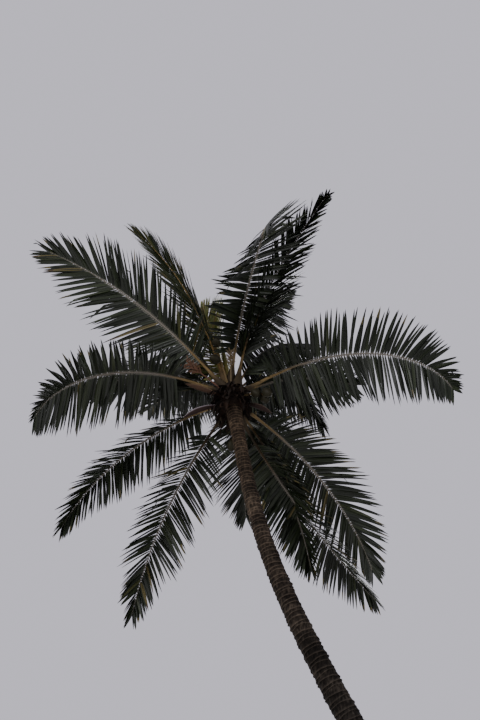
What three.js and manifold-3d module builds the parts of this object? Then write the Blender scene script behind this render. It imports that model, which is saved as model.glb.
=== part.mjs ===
// A coconut palm rooted in level ground: a tall leaning trunk, the heart of wrapped leaf bases on
// its tip, a crown of long feather fronds, an unopened spear leaf, bunches of young coconuts, and
// flower sprays with their woody spathes. Millimetres, +Z up, the trunk's foot centred on the
// origin. +X is to the right and +Y points away in the view that the sizes were read from.
import * as THREE from 'three';
import Module from 'manifold-3d';

const wasm = await Module();
wasm.setup();

// Trunk: its length is measured along its curve. It leans evenly from the ground up, and between
// two shares of its length it turns smoothly to a smaller lean.
const TRUNK_LENGTH = 12000;
const LEAN_AT_FOOT = 24;
const LEAN_AT_TIP = 7.5;
const TURNS_FROM = 0.5;
const TURNS_TO = 0.95;
const TRUNK_STEPS = 240;
const TRUNK_SIDES = 20;
const TRUNK_RINGS = 30;
const TRUNK_RING_SPREAD = 1.35;
const TRUNK_RADII = [
  [0, 345], [180, 300], [500, 246], [1000, 218], [2000, 198], [4000, 178],
  [6500, 157], [8000, 143], [9300, 129], [10900, 121], [11500, 127], [12000, 148],
];
const FOOT_LOBES = 7;
const FOOT_LOBE_DEPTH = 0.07;
const FOOT_HEIGHT = 600;

// Heart: radii by height over the trunk's tip. The crown's centre is a little way up inside it.
const CROWN_HEIGHT = 350;
const HEART_SIDES = 14;
const HEART_RADII = [
  [0, 165], [90, 215], [230, 238], [430, 222], [600, 176], [740, 118], [800, 70],
];
const GAP = 0.4;

// Fronds. bearing is counted from +X towards +Y; rise and tip are the rib's angles over the
// horizon at its two ends; sweep turns the bearing by the tip; roll turns the blade on its rib;
// hang lowers the leaflets under the blade's plane; height is the stem's place on the heart,
// from the crown's centre, and out its distance from the heart's axis where it isn't the usual
// one; size scales the leaflets, spread their angle to the rib; bare is the share of the rib
// before them where it isn't the usual one; a young frond has a slimmer rib.
// Most of the roll comes along the way, on top of its share at the foot.
const FROND_BEND = 1.4;
const ROLL_AT_FOOT = 0.3;
const FROND_STEPS = 48;
const BARE_STEM = 0.18;
const STEM_SEGMENTS = [0, 0.025, 0.06, 0.11];
const LEAFLETS_A_SIDE = 20;
const LEAFLET_LENGTH = 1060;
const LEAFLET_LENGTHS = [[0, 0.55], [0.12, 0.8], [0.3, 1], [0.6, 0.95], [0.85, 0.65], [1, 0.35]];
const LEAFLET_ANGLES = [[0, 100], [0.2, 80], [0.6, 64], [1, 22]];
const LEAFLET_STEPS = 4;
const LEAFLET_DROOP = 0.05;
const LEAFLET_WAIST = 0.6;
const LEAFLET_KEEL = 18;
const TIP_LEAFLET = 300;
const LEAFLET_SHARES = [1, 0.8, 0.62, 0.45];
const RIB_WIDTHS = [[0, 120], [0.03, 96], [0.1, 72], [0.24, 60], [0.6, 34], [1, 14]];
const RIB_DEPTHS = [[0, 62], [0.03, 54], [0.1, 46], [0.24, 42], [0.6, 28], [1, 14]];
const RIB_SECTION = [[1, 1], [-1, 1], [-0.7, -1], [0.7, -1]];
const STEM_STARTS = [[0, 40], [60, 60], [90, 115]];
const YOUNG_RIB = 0.72;
const CLEARANCE = 4;

const FRONDS = [
  { bearing: 211, rise: 42, tip: 12, length: 4700, sweep: -11, height: 80,
    roll: 42, hang: 20, size: 1.06, spread: 0.78 },
  { bearing: 213, rise: 73, tip: 48, length: 5300, sweep: -24, height: 170,
    roll: 60, hang: 68, size: 0.9, spread: 0.6 },
  { bearing: 112, rise: 81, tip: 62, length: 3900, height: 300,
    roll: 60, hang: 20, size: 0.62, young: true },
  { bearing: 289, rise: 78, tip: -64, length: 4250, sweep: -11, height: 300,
    roll: 62, hang: 13, size: 1.25, spread: 1.18 },
  { bearing: 315, rise: 86, tip: -33, length: 5100, sweep: -24, height: 70, out: 190,
    roll: -26, hang: 60, size: 0.95, spread: 0.72 },
  { bearing: 349, rise: 36, tip: -80, length: 4850, sweep: -8, height: -20,
    roll: -46, hang: 16, size: 0.96, spread: 1.06 },
  { bearing: 12, rise: 76, tip: 22, length: 3400, sweep: 34, height: 140, hang: 50 },
  { bearing: 42, rise: 70, tip: -36, length: 3900, sweep: 12, height: 40,
    hang: 53, size: 0.85, spread: 0.8 },
  { bearing: 47, rise: 7, tip: -74, length: 4650, sweep: -6, height: -100,
    roll: -19, hang: -4, size: 0.93, spread: 0.75 },
  { bearing: 60, rise: 3, tip: -75, length: 3850, sweep: 3, height: -190,
    roll: -4, hang: 52, size: 0.94 },
  { bearing: 63, rise: -11, tip: -34, length: 5000, sweep: -27, height: -280, hang: 40, size: 0.9 },
  { bearing: 86, rise: 30, tip: -25, length: 4300, height: -80, hang: 30 },
  { bearing: 120, rise: 0, tip: -75, length: 4900, height: -190, roll: 13, hang: 46, size: 0.96 },
  { bearing: 145, rise: 15, tip: -70, length: 4500, sweep: 10, height: -110,
    roll: 32, hang: 57, size: 0.93 },
  { bearing: 191, rise: 24, tip: -82, length: 4200, height: 10,
    roll: 14, hang: 17, bare: 0.26, spread: 1.07 },
  { bearing: 158, rise: 58, tip: -22, length: 3700, sweep: 8, height: -50, hang: 28 },
  { bearing: 66, rise: 38, tip: -46, length: 3900, height: -30, hang: 30 },
  { bearing: 168, rise: 84, tip: 70, length: 2900, height: 330,
    roll: 115, hang: 50, bare: 0.12, size: 0.8, young: true },
  { bearing: 104, rise: 65, tip: 12, length: 4000, height: 120, hang: 25 },
  { bearing: 130, rise: 58, tip: 5, length: 3800, height: 40, hang: 28 },
  { bearing: 183, rise: 65, tip: 42, length: 3700, height: 50, hang: 28, size: 0.85 },
  { bearing: 77, rise: 56, tip: -22, length: 4400, height: 80, hang: 28 },
  { bearing: 352, rise: 80, tip: 52, length: 3400, height: 315, hang: 20, size: 0.75 },
  { bearing: 18, rise: 50, tip: -15, length: 2900, sweep: -10, height: 0,
    roll: -20, hang: 30, size: 0.95 },
];

// The unopened leaf that stands out of the heart's tip.
const SPEAR_LENGTH = 1900;
const SPEAR_RADII = [[0, 34], [0.3, 38], [0.75, 24], [1, 5]];
const SPEAR_SIDES = 7;

// Limbs that follow each other round a stem are turned by this.
const GOLDEN_TURN = 137.5;
const STALK_SIDES = 6;

// Bunches of young coconuts on arched stalks. A nut hangs out from the stalk and a little ahead.
const NUT_LENGTH = 240;
const NUT_RADIUS = 98;
const NUT_SIDES = 8;
const NUT_RINGS = 4;
const NUTS_FROM = 0.7;
const NUT_FIRST_TURN = 215;
const NUT_OUT = 88;
const NUT_AHEAD = 30;
const NUT_SPLAY = 0.45;
const NUT_SAG = 0.5;
const BUNCH_STALK = 24;
const BUNCH_STALK_TIP = 14;
const BUNCH_STEPS = 8;
const BUNCHES = [
  { bearing: 243, rise: 67, tip: 12, length: 1000, height: 100, nuts: 2 },
  { bearing: 334, rise: 14, tip: -60, length: 720, height: -110, nuts: 3 },
  { bearing: 84, rise: -20, tip: -80, length: 800, height: -280, nuts: 3 },
];

// Flower sprays, and the woody spathes that they broke out of. reach is a branch's length.
const SPRAY_STALK = 20;
const SPRAY_STALK_TIP = 8;
const SPRAY_STEPS = 6;
const SPRAYS = [
  { bearing: 268, rise: 66, tip: 50, length: 850, height: 30, reach: 140, branches: 9 },
  { bearing: 208, rise: 30, tip: 24, length: 1000, height: 20, reach: 180, branches: 9 },
];
const BRANCHES_FROM = 0.6;
const BRANCHES_TO = 0.98;
const BRANCH_RADIUS = 7;
const BRANCH_TIP_RADIUS = 5;
const BRANCH_SIDES = 4;
const BRANCH_OPENING = 41;
const SPATHE_WIDTH = 130;
const SPATHE_DEPTH = 70;
const SPATHE_STEPS = 10;
const SPATHE_WIDTHS = [[0, 0.2], [0.25, 0.22], [0.5, 0.85], [0.7, 1], [0.88, 0.6], [1, 0.1]];
const SPATHE_SECTION = [
  [-1, 0.25], [-0.6, -0.45], [0, -0.75], [0.6, -0.45], [1, 0.25], [0, -0.1],
];
const SPATHES = [
  { bearing: 197, rise: 16, tip: 2, length: 900, height: -75 },
  { bearing: 177, rise: -4, tip: -44, length: 960, height: -180 },
  { bearing: 108, rise: 24, tip: -30, length: 820, height: -70 },
  { bearing: 8, rise: 6, tip: -45, length: 760, height: -150 },
];

const UP = new THREE.Vector3(0, 0, 1);

function radians(degrees) {
  return degrees * Math.PI / 180;
}

// The value at x on straight lines between [place, value] pairs.
function between(pairs, x) {
  for (let i = 1; i < pairs.length; i += 1) {
    const [x0, y0] = pairs[i - 1];
    const [x1, y1] = pairs[i];
    if (x <= x1) {
      return y0 + (y1 - y0) * Math.max(0, (x - x0) / (x1 - x0));
    }
  }
  return pairs[pairs.length - 1][1];
}

function heading(bearing, rise) {
  const a = radians(bearing);
  const e = radians(rise);
  return new THREE.Vector3(Math.cos(e) * Math.cos(a), Math.cos(e) * Math.sin(a), Math.sin(e));
}

// A closed mesh that is put together face by face, as corners and triangles.
class Shell {
  constructor() {
    this.corners = [];
    this.triangles = [];
  }

  corner(point) {
    this.corners.push(point.clone());
    return this.corners.length - 1;
  }

  loop(points) {
    return points.map((point) => this.corner(point));
  }

  // Walls between two loops of corners that match one to one; a corner may repeat in the second.
  wall(first, second) {
    const count = first.length;
    for (let i = 0; i < count; i += 1) {
      const j = (i + 1) % count;
      this.triangles.push([first[i], first[j], second[j]]);
      if (second[i] !== second[j]) {
        this.triangles.push([first[i], second[j], second[i]]);
      }
    }
  }

  // Triangles from a loop to one corner ahead of it.
  point(loop, apex) {
    for (let i = 0; i < loop.length; i += 1) {
      this.triangles.push([loop[i], loop[(i + 1) % loop.length], apex]);
    }
  }

  // A flat face over a loop, which faces the way that the loop turns.
  lid(loop) {
    for (let i = 1; i < loop.length - 1; i += 1) {
      this.triangles.push([loop[0], loop[i], loop[i + 1]]);
    }
  }

  // A closed tube through loops of points, with a flat lid at each end.
  tube(sections) {
    const loops = sections.map((points) => this.loop(points));
    this.lid([...loops[0]].reverse());
    for (let i = 1; i < loops.length; i += 1) {
      this.wall(loops[i - 1], loops[i]);
    }
    this.lid(loops[loops.length - 1]);
    return this;
  }

  solid() {
    const vertProperties = new Float32Array(this.corners.flatMap((point) => point.toArray()));
    const triVerts = new Uint32Array(this.triangles.flat());
    return new wasm.Manifold(new wasm.Mesh({ numProp: 3, vertProperties, triVerts }));
  }
}

function geometryOf(solid) {
  const mesh = solid.getMesh();
  const geometry = new THREE.BufferGeometry();
  geometry.setAttribute('position', new THREE.BufferAttribute(new Float32Array(mesh.vertProperties), 3));
  geometry.setIndex(new THREE.BufferAttribute(new Uint32Array(mesh.triVerts), 1));
  geometry.computeVertexNormals();
  return geometry;
}

// The trunk's direction at a share of its length.
function trunkHeading(share) {
  const turned = THREE.MathUtils.smoothstep(share, TURNS_FROM, TURNS_TO);
  return heading(180, 90 - LEAN_AT_FOOT - (LEAN_AT_TIP - LEAN_AT_FOOT) * turned);
}

// The trunk's middle line: the point and the direction at a length along its curve.
function trunkAt(length) {
  const point = new THREE.Vector3();
  for (let i = 0; i < TRUNK_STEPS; i += 1) {
    const share = (i + 0.5) / TRUNK_STEPS * length / TRUNK_LENGTH;
    point.addScaledVector(trunkHeading(share), length / TRUNK_STEPS);
  }
  return { point, direction: trunkHeading(length / TRUNK_LENGTH) };
}

const TRUNK_TIP = trunkAt(TRUNK_LENGTH);
const HEART_AXIS = TRUNK_TIP.direction;
const CROWN = TRUNK_TIP.point.clone().addScaledVector(HEART_AXIS, CROWN_HEIGHT);

// A ring of corners round an axis, turning left seen from the axis's tip.
function ring(centre, axis, radius, sides, shape = () => 1) {
  const across = new THREE.Vector3().crossVectors(new THREE.Vector3(0, 1, 0), axis).normalize();
  const over = new THREE.Vector3().crossVectors(axis, across);
  const points = [];
  for (let i = 0; i < sides; i += 1) {
    const angle = 2 * Math.PI * i / sides;
    const reach = radius * shape(angle);
    const point = centre.clone();
    point.addScaledVector(across, reach * Math.cos(angle));
    point.addScaledVector(over, reach * Math.sin(angle));
    points.push(point);
  }
  return points;
}

// The trunk ends in a flat ground cut, so its sections turn from level to square over the flare.
function trunkSolid() {
  const sections = [];
  for (let i = 0; i <= TRUNK_RINGS; i += 1) {
    const length = TRUNK_LENGTH * (i / TRUNK_RINGS) ** TRUNK_RING_SPREAD;
    const at = trunkAt(length);
    const square = Math.min(1, length / FOOT_HEIGHT);
    const axis = UP.clone().lerp(at.direction, square).normalize();
    const lobe = FOOT_LOBE_DEPTH * Math.max(0, 1 - length / FOOT_HEIGHT);
    const shape = (angle) => 1 + lobe * Math.cos(FOOT_LOBES * angle);
    sections.push(ring(at.point, axis, between(TRUNK_RADII, length), TRUNK_SIDES, shape));
  }
  return new Shell().tube(sections).solid();
}

// The heart grown by a margin, so that it can also cut its own place clear.
function heartSolid(margin) {
  const last = HEART_RADII.length - 1;
  const sections = HEART_RADII.map(([height, radius], i) => {
    const grownEnd = (i === last ? margin : 0) + (i === 0 ? GAP - margin : 0);
    const centre = TRUNK_TIP.point.clone().addScaledVector(HEART_AXIS, height + grownEnd);
    return ring(centre, HEART_AXIS, radius + margin, HEART_SIDES);
  });
  return new Shell().tube(sections).solid();
}

// Where a stem leaves the crown's axis, some way out towards its bearing.
function stemFoot({ bearing, rise, height, out = between(STEM_STARTS, Math.abs(rise)) }) {
  const foot = CROWN.clone().addScaledVector(HEART_AXIS, height);
  return foot.addScaledVector(heading(bearing, 0), out);
}

// Steps along an arched stem: places, directions, the level side of each and its upper side.
function stemPath(stem) {
  const { bearing, rise, tip, length, sweep = 0, roll = 0 } = stem;
  const path = [];
  const place = stemFoot(stem);
  for (let i = 0; i <= FROND_STEPS; i += 1) {
    const s = i / FROND_STEPS;
    const bend = s ** FROND_BEND;
    const direction = heading(bearing + sweep * bend, rise + (tip - rise) * bend);
    const a = radians(bearing + sweep * bend);
    const level = new THREE.Vector3(-Math.sin(a), Math.cos(a), 0);
    const upper = new THREE.Vector3().crossVectors(direction, level);
    const turn = radians(roll * (ROLL_AT_FOOT + (1 - ROLL_AT_FOOT) * s));
    const side = level.clone().multiplyScalar(Math.cos(turn)).addScaledVector(upper, Math.sin(turn));
    const top = upper.clone().multiplyScalar(Math.cos(turn)).addScaledVector(level, -Math.sin(turn));
    path.push({ s, place: place.clone(), direction, side, top });
    const middle = ((i + 0.5) / FROND_STEPS) ** FROND_BEND;
    const step = heading(bearing + sweep * middle, rise + (tip - rise) * middle);
    place.addScaledVector(step, length / FROND_STEPS);
  }
  return path;
}

// A place a share f of the way from one place on a stem to the next.
function mixed(a, b, f) {
  const mix = (key) => a[key].clone().lerp(b[key], f);
  return {
    s: a.s + (b.s - a.s) * f,
    place: mix('place'),
    direction: mix('direction').normalize(),
    side: mix('side').normalize(),
    top: mix('top').normalize(),
  };
}

function onPath(path, s) {
  const x = Math.min(s, 1) * FROND_STEPS;
  const i = Math.min(Math.floor(x), FROND_STEPS - 1);
  return mixed(path[i], path[i + 1], x - i);
}

function pickPath(path, count) {
  return Array.from({ length: count + 1 }, (_, i) => onPath(path, i / count));
}

// A point off a stem's middle line, by lengths towards its side and its top.
function offStem(at, across, up) {
  return at.place.clone().addScaledVector(at.side, across).addScaledVector(at.top, up);
}

// The direction that points away from a stem at an angle round it.
function awayFrom(at, angle) {
  return at.side.clone().multiplyScalar(Math.cos(angle)).addScaledVector(at.top, Math.sin(angle));
}

// The four corners of a rib's section: upper left, upper right, lower right, lower left.
function ribCorners(at, frond) {
  const stout = frond.young ? YOUNG_RIB : 1;
  const half = stout * between(RIB_WIDTHS, at.s) / 2;
  const deep = stout * between(RIB_DEPTHS, at.s) / 2;
  return RIB_SECTION.map(([across, up]) => offStem(at, across * half, up * deep));
}

// A leaflet's three-cornered waist and its tip, from the middle of its place on the rib.
function leafletForm(frond, at, hand, pitch, share, along) {
  const angle = radians(between(LEAFLET_ANGLES, along) * (frond.spread ?? 1));
  const hang = radians(frond.hang);
  const length = LEAFLET_LENGTH * (frond.size ?? 1) * between(LEAFLET_LENGTHS, along) * share;
  const heading0 = at.direction.clone().multiplyScalar(Math.cos(angle))
    .addScaledVector(at.side, Math.sin(angle) * Math.cos(hang) * hand)
    .addScaledVector(at.top, -Math.sin(angle) * Math.sin(hang));
  const place = at.place.clone();
  let waist = null;
  for (let i = 1; i <= LEAFLET_STEPS; i += 1) {
    const step = heading0.clone().addScaledVector(UP, -LEAFLET_DROOP * (i - 1)).normalize();
    place.addScaledVector(step, length / LEAFLET_STEPS);
    if (i === LEAFLET_STEPS / 2) {
      waist = { place: place.clone(), step };
    }
  }
  const lengthwise = at.direction.clone().addScaledVector(waist.step, -at.direction.dot(waist.step));
  lengthwise.normalize();
  const under = new THREE.Vector3().crossVectors(waist.step, lengthwise).normalize();
  if (under.dot(at.top) > 0) {
    under.negate();
  }
  const half = LEAFLET_WAIST * pitch * Math.sin(angle) / 2;
  const rear = waist.place.clone().addScaledVector(lengthwise, -half);
  const front = waist.place.clone().addScaledVector(lengthwise, half);
  const keel = waist.place.clone().addScaledVector(under, LEAFLET_KEEL);
  return { waist: [rear, front, keel], tip: place };
}

// A leaflet's faces from its four corners on the rib, in the order that they show from outside.
function addLeaflet(shell, foot, hand, form) {
  const [rear, front, keel] = shell.loop(form.waist);
  const round = hand > 0 ? [rear, front, keel, keel] : [rear, keel, keel, front];
  shell.wall(foot, round);
  shell.point(hand > 0 ? [rear, front, keel] : [rear, keel, front], shell.corner(form.tip));
}

// Points moved out from their middle, or from a given centre, by the clearance.
function grown(points, centre) {
  const sum = points.reduce((total, point) => total.add(point), new THREE.Vector3());
  const middle = centre ?? sum.divideScalar(points.length);
  return points.map((point) => point.clone()
    .addScaledVector(point.clone().sub(middle).normalize(), CLEARANCE));
}

// The same leaflet as a closed solid of its own, wider by a clearance, to test its space.
function leafletProbe(corners, hand, form) {
  const shell = new Shell();
  const foot = shell.loop(grown(corners));
  const wider = { waist: grown(form.waist), tip: grown([form.tip], corners[0])[0] };
  addLeaflet(shell, foot, hand, wider);
  shell.lid([...foot].reverse());
  return shell.solid();
}

function boxesMeet(a, b) {
  return a.min.every((low, i) => low < b.max[i] && b.min[i] < a.max[i]);
}

// Everything that leaflets keep clear of, by the frond that it belongs to.
const taken = [];

function keep(owner, solid) {
  taken.push({ owner, solid, box: solid.boundingBox() });
}

function meetsOthers(owner, solid) {
  const box = solid.boundingBox();
  return taken.some((other) => other.owner !== owner && boxesMeet(box, other.box)
    && !solid.intersect(other.solid).isEmpty());
}

function stationsOf(frond) {
  const path = stemPath(frond);
  const bare = frond.bare ?? BARE_STEM;
  const pitch = (1 - bare) / LEAFLETS_A_SIDE;
  const places = [...STEM_SEGMENTS];
  for (let k = 0; k <= LEAFLETS_A_SIDE; k += 1) {
    places.push(bare + k * pitch);
  }
  return { path, stations: places.map((s) => onPath(path, s)) };
}

// A frond's rib alone, closed by a pointed end leaflet.
function ribShell(frond, stations, leafletAt) {
  const shell = new Shell();
  const loops = stations.map((at) => shell.loop(ribCorners(at, frond)));
  shell.lid([loops[0][0], loops[0][3], loops[0][2], loops[0][1]]);
  for (let k = 0; k + 1 < loops.length; k += 1) {
    const [tl, tr, br, bl] = loops[k];
    const [tl1, tr1, br1, bl1] = loops[k + 1];
    shell.triangles.push([tl, tr, tr1], [tl, tr1, tl1]);
    shell.triangles.push([bl, bl1, br1], [bl, br1, br]);
    const sides = [
      { hand: 1, foot: [tl, tl1, bl1, bl] },
      { hand: -1, foot: [tr, br, br1, tr1] },
    ];
    sides.forEach(({ hand, foot }) => {
      const form = leafletAt(k, hand, foot.map((i) => shell.corners[i]));
      if (form) {
        addLeaflet(shell, foot, hand, form);
      } else {
        shell.lid(foot);
      }
    });
  }
  const end = stations[stations.length - 1];
  const reach = TIP_LEAFLET * (frond.size ?? 1);
  const drop = end.direction.clone().addScaledVector(UP, -LEAFLET_DROOP).normalize();
  const tip = shell.corner(end.place.clone().addScaledVector(drop, reach));
  const loop = loops[loops.length - 1];
  shell.point([loop[0], loop[1], loop[2], loop[3]], tip);
  return shell;
}

const heartSpace = heartSolid(GAP);

// Bare ribs come first, so that every leaflet knows them.
const frames = FRONDS.map((frond, index) => {
  const { stations } = stationsOf(frond);
  const rib = ribShell(frond, stations, () => null).solid();
  keep(`frond ${index}`, rib.subtract(heartSpace));
  return { frond, stations };
});

// A leaflet that would touch another limb is shortened, and left out where that isn't enough.
function frondSolid({ frond, stations }, index) {
  const owner = `frond ${index}`;
  const first = STEM_SEGMENTS.length;
  const probes = [];
  const shell = ribShell(frond, stations, (k, hand, corners) => {
    if (k < first) {
      return null;
    }
    const along = (k - first + 0.5) / LEAFLETS_A_SIDE;
    const pitch = stations[k].place.distanceTo(stations[k + 1].place);
    const middle = mixed(stations[k], stations[k + 1], 0.5);
    for (const share of LEAFLET_SHARES) {
      const form = leafletForm(frond, middle, hand, pitch, share, along);
      const probe = leafletProbe(corners, hand, form);
      if (!meetsOthers(owner, probe)) {
        probes.push(probe);
        return form;
      }
    }
    return null;
  });
  probes.forEach((probe) => keep(owner, probe));
  return shell.solid().subtract(heartSpace);
}

// A round stem along a stretch of places, which thins evenly to its tip.
function stalkSolid(places, radius, tipRadius) {
  const sections = places.map((at) => Array.from({ length: STALK_SIDES }, (_, k) => {
    const out = awayFrom(at, 2 * Math.PI * k / STALK_SIDES);
    return at.place.clone().addScaledVector(out, radius + (tipRadius - radius) * at.s);
  }));
  return new Shell().tube(sections).solid();
}

function nutSolid(centre, axis) {
  const shell = new Shell();
  const along = (reach) => centre.clone().addScaledVector(axis, reach * NUT_LENGTH / 2);
  const start = shell.corner(along(-1));
  let last = null;
  for (let i = 1; i < NUT_RINGS; i += 1) {
    const angle = Math.PI * i / NUT_RINGS;
    const middle = along(-Math.cos(angle));
    const loop = shell.loop(ring(middle, axis, NUT_RADIUS * Math.sin(angle), NUT_SIDES));
    if (last) {
      shell.wall(last, loop);
    } else {
      shell.point([...loop].reverse(), start);
    }
    last = loop;
  }
  shell.point(last, shell.corner(along(1)));
  return shell.solid();
}

// Nuts sit in a spiral round the outer part of their stalk, up to its end.
function bunchSolid(bunch) {
  const path = stemPath(bunch);
  let solid = stalkSolid(pickPath(path, BUNCH_STEPS), BUNCH_STALK, BUNCH_STALK_TIP);
  for (let i = 0; i < bunch.nuts; i += 1) {
    const at = onPath(path, NUTS_FROM + (1 - NUTS_FROM) * i / (bunch.nuts - 1));
    const out = awayFrom(at, radians(NUT_FIRST_TURN + GOLDEN_TURN * i));
    const centre = at.place.clone().addScaledVector(out, NUT_OUT);
    centre.addScaledVector(at.direction, NUT_AHEAD);
    const axis = at.direction.clone().addScaledVector(out, NUT_SPLAY).addScaledVector(UP, -NUT_SAG);
    solid = solid.add(nutSolid(centre, axis.normalize()));
  }
  return solid.subtract(heartSpace);
}

// A flower spray is a stalk whose outer part throws thin branches out in a spiral.
function spraySolid(spray) {
  const path = stemPath(spray);
  const opening = radians(BRANCH_OPENING);
  let solid = stalkSolid(pickPath(path, SPRAY_STEPS), SPRAY_STALK, SPRAY_STALK_TIP);
  for (let i = 0; i < spray.branches; i += 1) {
    const share = i / (spray.branches - 1);
    const at = onPath(path, BRANCHES_FROM + (BRANCHES_TO - BRANCHES_FROM) * share);
    const out = awayFrom(at, radians(GOLDEN_TURN * i));
    const direction = at.direction.clone().multiplyScalar(Math.cos(opening));
    direction.addScaledVector(out, Math.sin(opening));
    const tip = at.place.clone().addScaledVector(direction, spray.reach);
    const branch = new Shell().tube([
      ring(at.place, direction, BRANCH_RADIUS, BRANCH_SIDES),
      ring(tip, direction, BRANCH_TIP_RADIUS, BRANCH_SIDES),
    ]);
    solid = solid.add(branch.solid());
  }
  return solid.subtract(heartSpace);
}

// A spathe is a boat-shaped woody bract on a short stalk, keeled below and pointed at its tip.
function spatheSolid(spathe) {
  const sections = pickPath(stemPath(spathe), SPATHE_STEPS).map((at) => {
    const share = between(SPATHE_WIDTHS, at.s);
    const half = SPATHE_WIDTH * share / 2;
    const deep = SPATHE_DEPTH * share;
    return SPATHE_SECTION.map(([across, up]) => offStem(at, across * half, up * deep));
  });
  return new Shell().tube(sections).solid().subtract(heartSpace);
}

function spearSolid() {
  const [heartHeight] = HEART_RADII[HEART_RADII.length - 1];
  const foot = TRUNK_TIP.point.clone().addScaledVector(HEART_AXIS, heartHeight + 2 * GAP);
  const sections = SPEAR_RADII.map(([part, radius]) => {
    const centre = foot.clone().addScaledVector(HEART_AXIS, SPEAR_LENGTH * part);
    return ring(centre, HEART_AXIS, radius, SPEAR_SIDES);
  });
  return new Shell().tube(sections).solid();
}

const FINISHES = {
  bark: { color: 0x6b5d52, roughness: 0.95 },
  sheath: { color: 0x6e4a2c, roughness: 0.95 },
  frond: { color: 0x3c4a26, roughness: 0.65 },
  young: { color: 0x8a9440, roughness: 0.6 },
  nut: { color: 0x33401f, roughness: 0.55 },
  flower: { color: 0xb79a78, roughness: 0.85 },
  spathe: { color: 0x4a2a20, roughness: 0.8 },
};

const tree = new THREE.Group();

function addPart(name, solid, finish) {
  const material = new THREE.MeshStandardMaterial({ ...FINISHES[finish], metalness: 0 });
  const mesh = new THREE.Mesh(geometryOf(solid), material);
  mesh.name = name;
  tree.add(mesh);
}

function numbered(name, index) {
  return `${name}_${String(index + 1).padStart(2, '0')}`;
}

addPart('trunk', trunkSolid(), 'bark');
addPart('crown_heart', heartSolid(0), 'sheath');

// The small parts of the crown are made before the fronds' leaflets, which then grow round them.
const small = [
  ['spear_leaf', spearSolid(), 'young'],
  ...BUNCHES.map((bunch, i) => [numbered('nut_bunch', i), bunchSolid(bunch), 'nut']),
  ...SPRAYS.map((spray, i) => [numbered('flower_spray', i), spraySolid(spray), 'flower']),
  ...SPATHES.map((spathe, i) => [numbered('spathe', i), spatheSolid(spathe), 'spathe']),
];
small.forEach(([name, solid, finish]) => {
  keep(name, solid);
  addPart(name, solid, finish);
});

frames.forEach((frame, i) => {
  addPart(numbered('frond', i), frondSolid(frame, i), frame.frond.young ? 'young' : 'frond');
});

export default tree;
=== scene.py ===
import math
import random
from collections import namedtuple

import bmesh
import bpy
import numpy as np
from mathutils import Matrix, Vector, noise
from mathutils.bvhtree import BVHTree


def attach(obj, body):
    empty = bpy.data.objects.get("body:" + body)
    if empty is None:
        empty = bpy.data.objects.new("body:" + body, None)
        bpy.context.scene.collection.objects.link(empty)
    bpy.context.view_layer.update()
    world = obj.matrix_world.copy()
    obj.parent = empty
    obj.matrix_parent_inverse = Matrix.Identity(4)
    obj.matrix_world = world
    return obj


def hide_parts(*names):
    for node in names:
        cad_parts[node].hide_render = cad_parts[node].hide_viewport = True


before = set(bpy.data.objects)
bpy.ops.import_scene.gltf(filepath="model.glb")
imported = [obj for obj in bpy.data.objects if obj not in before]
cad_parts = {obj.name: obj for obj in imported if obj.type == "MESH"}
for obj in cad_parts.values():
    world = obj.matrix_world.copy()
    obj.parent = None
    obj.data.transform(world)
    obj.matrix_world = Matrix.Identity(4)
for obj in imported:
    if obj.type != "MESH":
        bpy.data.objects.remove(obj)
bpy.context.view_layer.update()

# VIEWPOINT
# The eye of a person who stands nine metres in front of the crown and looks up at 51 degrees,
# through a 35 mm lens held upright.
EYE = (-3.86, -9.0, 1.62)
LOOK_UP = 51
LENS = 35
LONG_SIDE = 36

viewpoint = bpy.data.objects.new("viewpoint", bpy.data.cameras.new("viewpoint"))
viewpoint.data.lens = LENS
viewpoint.data.sensor_width = LONG_SIDE
viewpoint.location = EYE
viewpoint.rotation_euler = (math.radians(90 + LOOK_UP), 0, 0)
bpy.context.scene.collection.objects.link(viewpoint)
bpy.context.scene.camera = viewpoint

# TRUNK
# A single woody stem that never thickens with age: it leans, straightens towards its crown, and swells
# into a lobed foot. Each leaf that fell left a rough tilted scar, a hand's width above the last. The
# fibrous bark is warm brown near the crown, black-grey lower down, and bleached to grey at its foot.
TRUNK_LENGTH = 12
LEAN_AT_FOOT = 24
LEAN_AT_TIP = 7.5
TURNS_FROM = 0.5
TURNS_TO = 0.95
TRUNK_STEPS = 240
TRUNK_RADII = (
    (0, 0.345), (0.18, 0.3), (0.5, 0.246), (1, 0.218), (2, 0.198), (4, 0.178),
    (6.5, 0.157), (8, 0.143), (9.3, 0.129), (10.9, 0.121), (11.5, 0.127), (12, 0.148),
)
FOOT_LOBES = 7
FOOT_LOBE_DEPTH = 0.07
FOOT_HEIGHT = 0.6
TRUNK_SIDES = 64
SCARS = 168
SCAR_TILT = 0.016
SCAR_TURN = math.radians(137.5)
SCAR_DEPTHS = ((0, 0.02), (5, 0.018), (9, 0.014), (10.6, 0.009), (12, 0.008))
SCAR_PROFILE = ((0, 1), (0.12, 0.86), (0.3, 0.3), (0.5, 0.08), (0.72, -0.05), (0.9, -0.3))
SCAR_SINK = 0.4
WORN_USUAL = 0.6
WORN_LEAST = 0.05
WORN_PATCHES = 1.7
WORN_STEP = 0.9
ROUGHNESS = 0.5
ROUGH_PATCHES = 4
ROUGH_CLIMB = 9
BARK_DEEP = (0, "1e1c1a"), (0.5, "060505"), (0.82, "0a0807"), (0.93, "120d0a")
BARK_PALE = (0, "77726a"), (0.5, "443e38"), (0.82, "655749"), (0.93, "6b5a48")
BARK_SPLIT = "14110f"
SCAR_EDGE = (0, "ffffff"), (0.12, "b0b0b0"), (0.3, "202020"), (0.6, "000000")
PALE_CONTRAST = 6
PALE_SHARE = 0.12
EDGE_SHARE = 1.1
SPLIT_CONTRAST = 4
SPLIT_SHARE = 2
FLECK_RELIEF = 0.6


def along(pairs, x):
    """The value at x on straight lines between (place, value) pairs."""
    return float(np.interp(x, *zip(*pairs)))


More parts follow.
